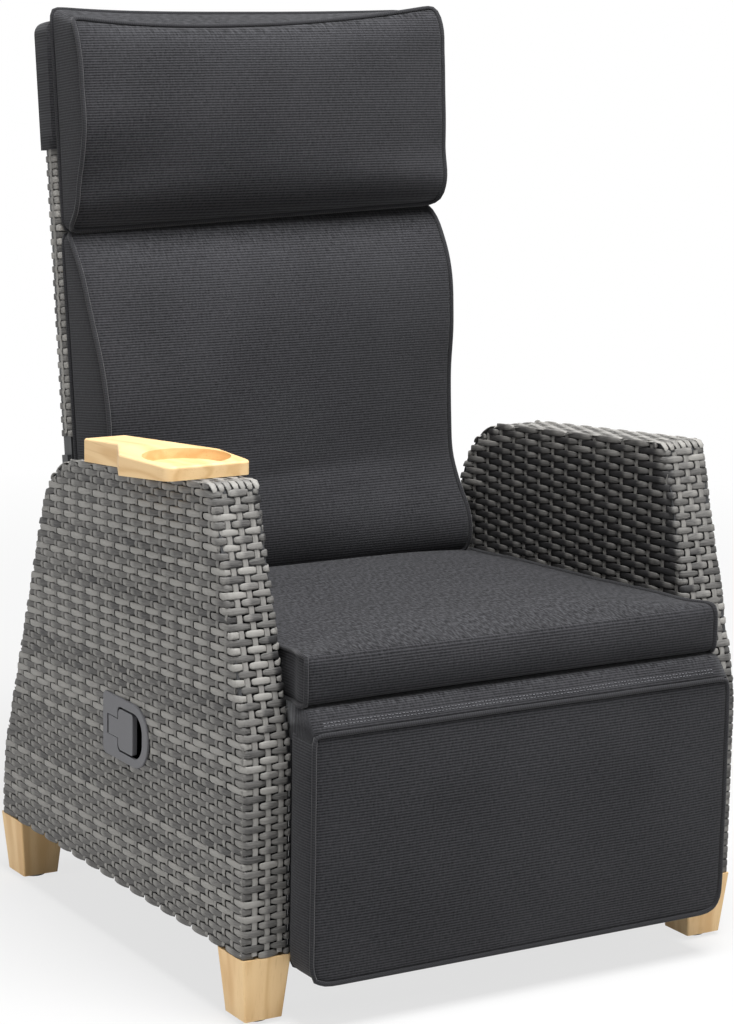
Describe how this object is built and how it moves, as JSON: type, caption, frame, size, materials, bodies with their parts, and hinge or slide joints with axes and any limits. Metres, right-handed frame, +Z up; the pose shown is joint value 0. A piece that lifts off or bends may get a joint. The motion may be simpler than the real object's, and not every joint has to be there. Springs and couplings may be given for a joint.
{
  "type": "reclining garden armchair",
  "caption": "Woven garden armchair with a reclining back, a coupled swing-up footrest, loose cushions, wooden legs and a wooden cup tray on one arm.",
  "frame": {"origin": "on the floor, midway between the arms, 321 mm behind the arms' front face", "axes": "+X to the right as seen from the front, -Y towards the front, +Z up"},
  "size_m": [0.7197, 0.7567, 1.1087],
  "materials": {
    "wicker": "woven flat strands in mixed warm greys",
    "timber": "light hardwood, satin oil",
    "glide": "moulded, matt",
    "coated_steel": "powder coat, dark grey",
    "plated_steel": "zinc plated",
    "webbing": "flat woven strap",
    "cushion_cloth": "ribbed weave, matt",
    "grey_plastic": "moulded, fine grain",
    "black_plastic": "moulded, smooth",
    "gas_tube": "black enamel",
    "gas_chrome": "ground and plated"
  },
  "bodies": {
    "chair": {"arm_weave_left": "wicker", "arm_weave_right": "wicker", "arm_frame_left": "coated_steel", "arm_frame_right": "coated_steel", "leg_front_left": "timber", "leg_front_right": "timber", "leg_rear_left": "timber", "leg_rear_right": "timber", "foot_glides": "glide", "leg_bolts": "plated_steel", "rear_stretcher": "coated_steel", "seat_frame": "coated_steel", "seat_spacers": "plated_steel", "seat_bolts": "plated_steel", "seat_webbing": "webbing", "seat_cushion": "cushion_cloth", "back_bracket_left": "coated_steel", "back_bracket_right": "coated_steel", "footrest_bracket_left": "coated_steel", "footrest_bracket_right": "coated_steel", "back_hinge_pins": "plated_steel", "footrest_hinge_pins": "plated_steel", "armrest_tray": "timber", "tray_screws": "plated_steel", "handle_housing": "grey_plastic", "lever_pin": "plated_steel", "rod_guide": "black_plastic", "gas_clevis": "coated_steel", "gas_foot_pin": "plated_steel"},
    "backrest": {"back_frame": "coated_steel", "back_weave": "wicker", "back_lever_left": "coated_steel", "back_lever_right": "coated_steel", "drive_pins": "plated_steel", "lumbar_cushion": "cushion_cloth", "headrest_cushion": "cushion_cloth", "cushion_hood": "cushion_cloth"},
    "footrest": {"footrest_frame": "coated_steel", "footrest_webbing": "webbing", "footrest_cushion": "cushion_cloth", "footrest_plate_left": "coated_steel", "footrest_plate_right": "coated_steel", "footrest_pins": "plated_steel"},
    "bar_left": {"drive_bar_left": "coated_steel"},
    "bar_right": {"drive_bar_right": "coated_steel"},
    "spring_rod": {"gas_rod": "gas_chrome", "gas_head": "gas_tube", "gas_piston": "black_plastic"},
    "spring_tube": {"gas_cylinder": "gas_tube", "gas_gland": "black_plastic"},
    "lever": {"release_lever": "grey_plastic"},
    "push_rod": {"release_rod": "plated_steel"},
    "button": {"release_button": "black_plastic"}
  },
  "joints": [
    {"name": "back_recline", "type": "hinge", "parent": "chair", "child": "backrest", "pos_m": [0, 0.24, 0.332], "axis": [-1, 0, 0], "range_deg": [0, 38]},
    {"name": "footrest_lift", "type": "hinge", "parent": "chair", "child": "footrest", "pos_m": [0, -0.338, 0.358], "axis": [-1, 0, 0], "range_deg": [0, 72.5]},
    {"name": "bar_swing_left", "type": "hinge", "parent": "backrest", "child": "bar_left", "pos_m": [-0.2545, 0.259, 0.2583], "axis": [1, 0, 0], "range_deg": [0, 40.1]},
    {"name": "bar_swing_right", "type": "hinge", "parent": "backrest", "child": "bar_right", "pos_m": [0.2545, 0.259, 0.2583], "axis": [1, 0, 0], "range_deg": [0, 40.1]},
    {"name": "spring_swing", "type": "hinge", "parent": "chair", "child": "spring_rod", "pos_m": [-0.231, -0.012, 0.262], "axis": [1, 0, 0], "range_deg": [0, 0.72]},
    {"name": "spring_stroke", "type": "slide", "parent": "spring_rod", "child": "spring_tube", "axis": [0, 0.9998, -0.022], "range_m": [-0.0495, 0]},
    {"name": "lever_pull", "type": "hinge", "parent": "chair", "child": "lever", "pos_m": [-0.334, 0.005, 0.275], "axis": [0, 0, -1], "range_deg": [0, 30], "stiffness_Nm_per_rad": 0.6},
    {"name": "rod_push", "type": "slide", "parent": "chair", "child": "push_rod", "axis": [1, 0, 0], "range_m": [0, 0.005]},
    {"name": "button_press", "type": "slide", "parent": "spring_rod", "child": "button", "axis": [1, 0, 0], "range_m": [0, 0.005]}
  ],
  "couplings": [
    {"joint": "footrest_lift", "follows": "back_recline", "ratio": 1.907},
    {"joint": "bar_swing_left", "follows": "back_recline", "ratio": 1.054},
    {"joint": "bar_swing_right", "follows": "back_recline", "ratio": 1.054},
    {"joint": "spring_swing", "follows": "back_recline", "ratio": 0.01893},
    {"joint": "spring_stroke", "follows": "back_recline", "m_per_rad": -0.074567},
    {"joint": "rod_push", "follows": "lever_pull", "m_per_rad": 0.00936},
    {"joint": "button_press", "follows": "lever_pull", "m_per_rad": 0.00936}
  ]
}
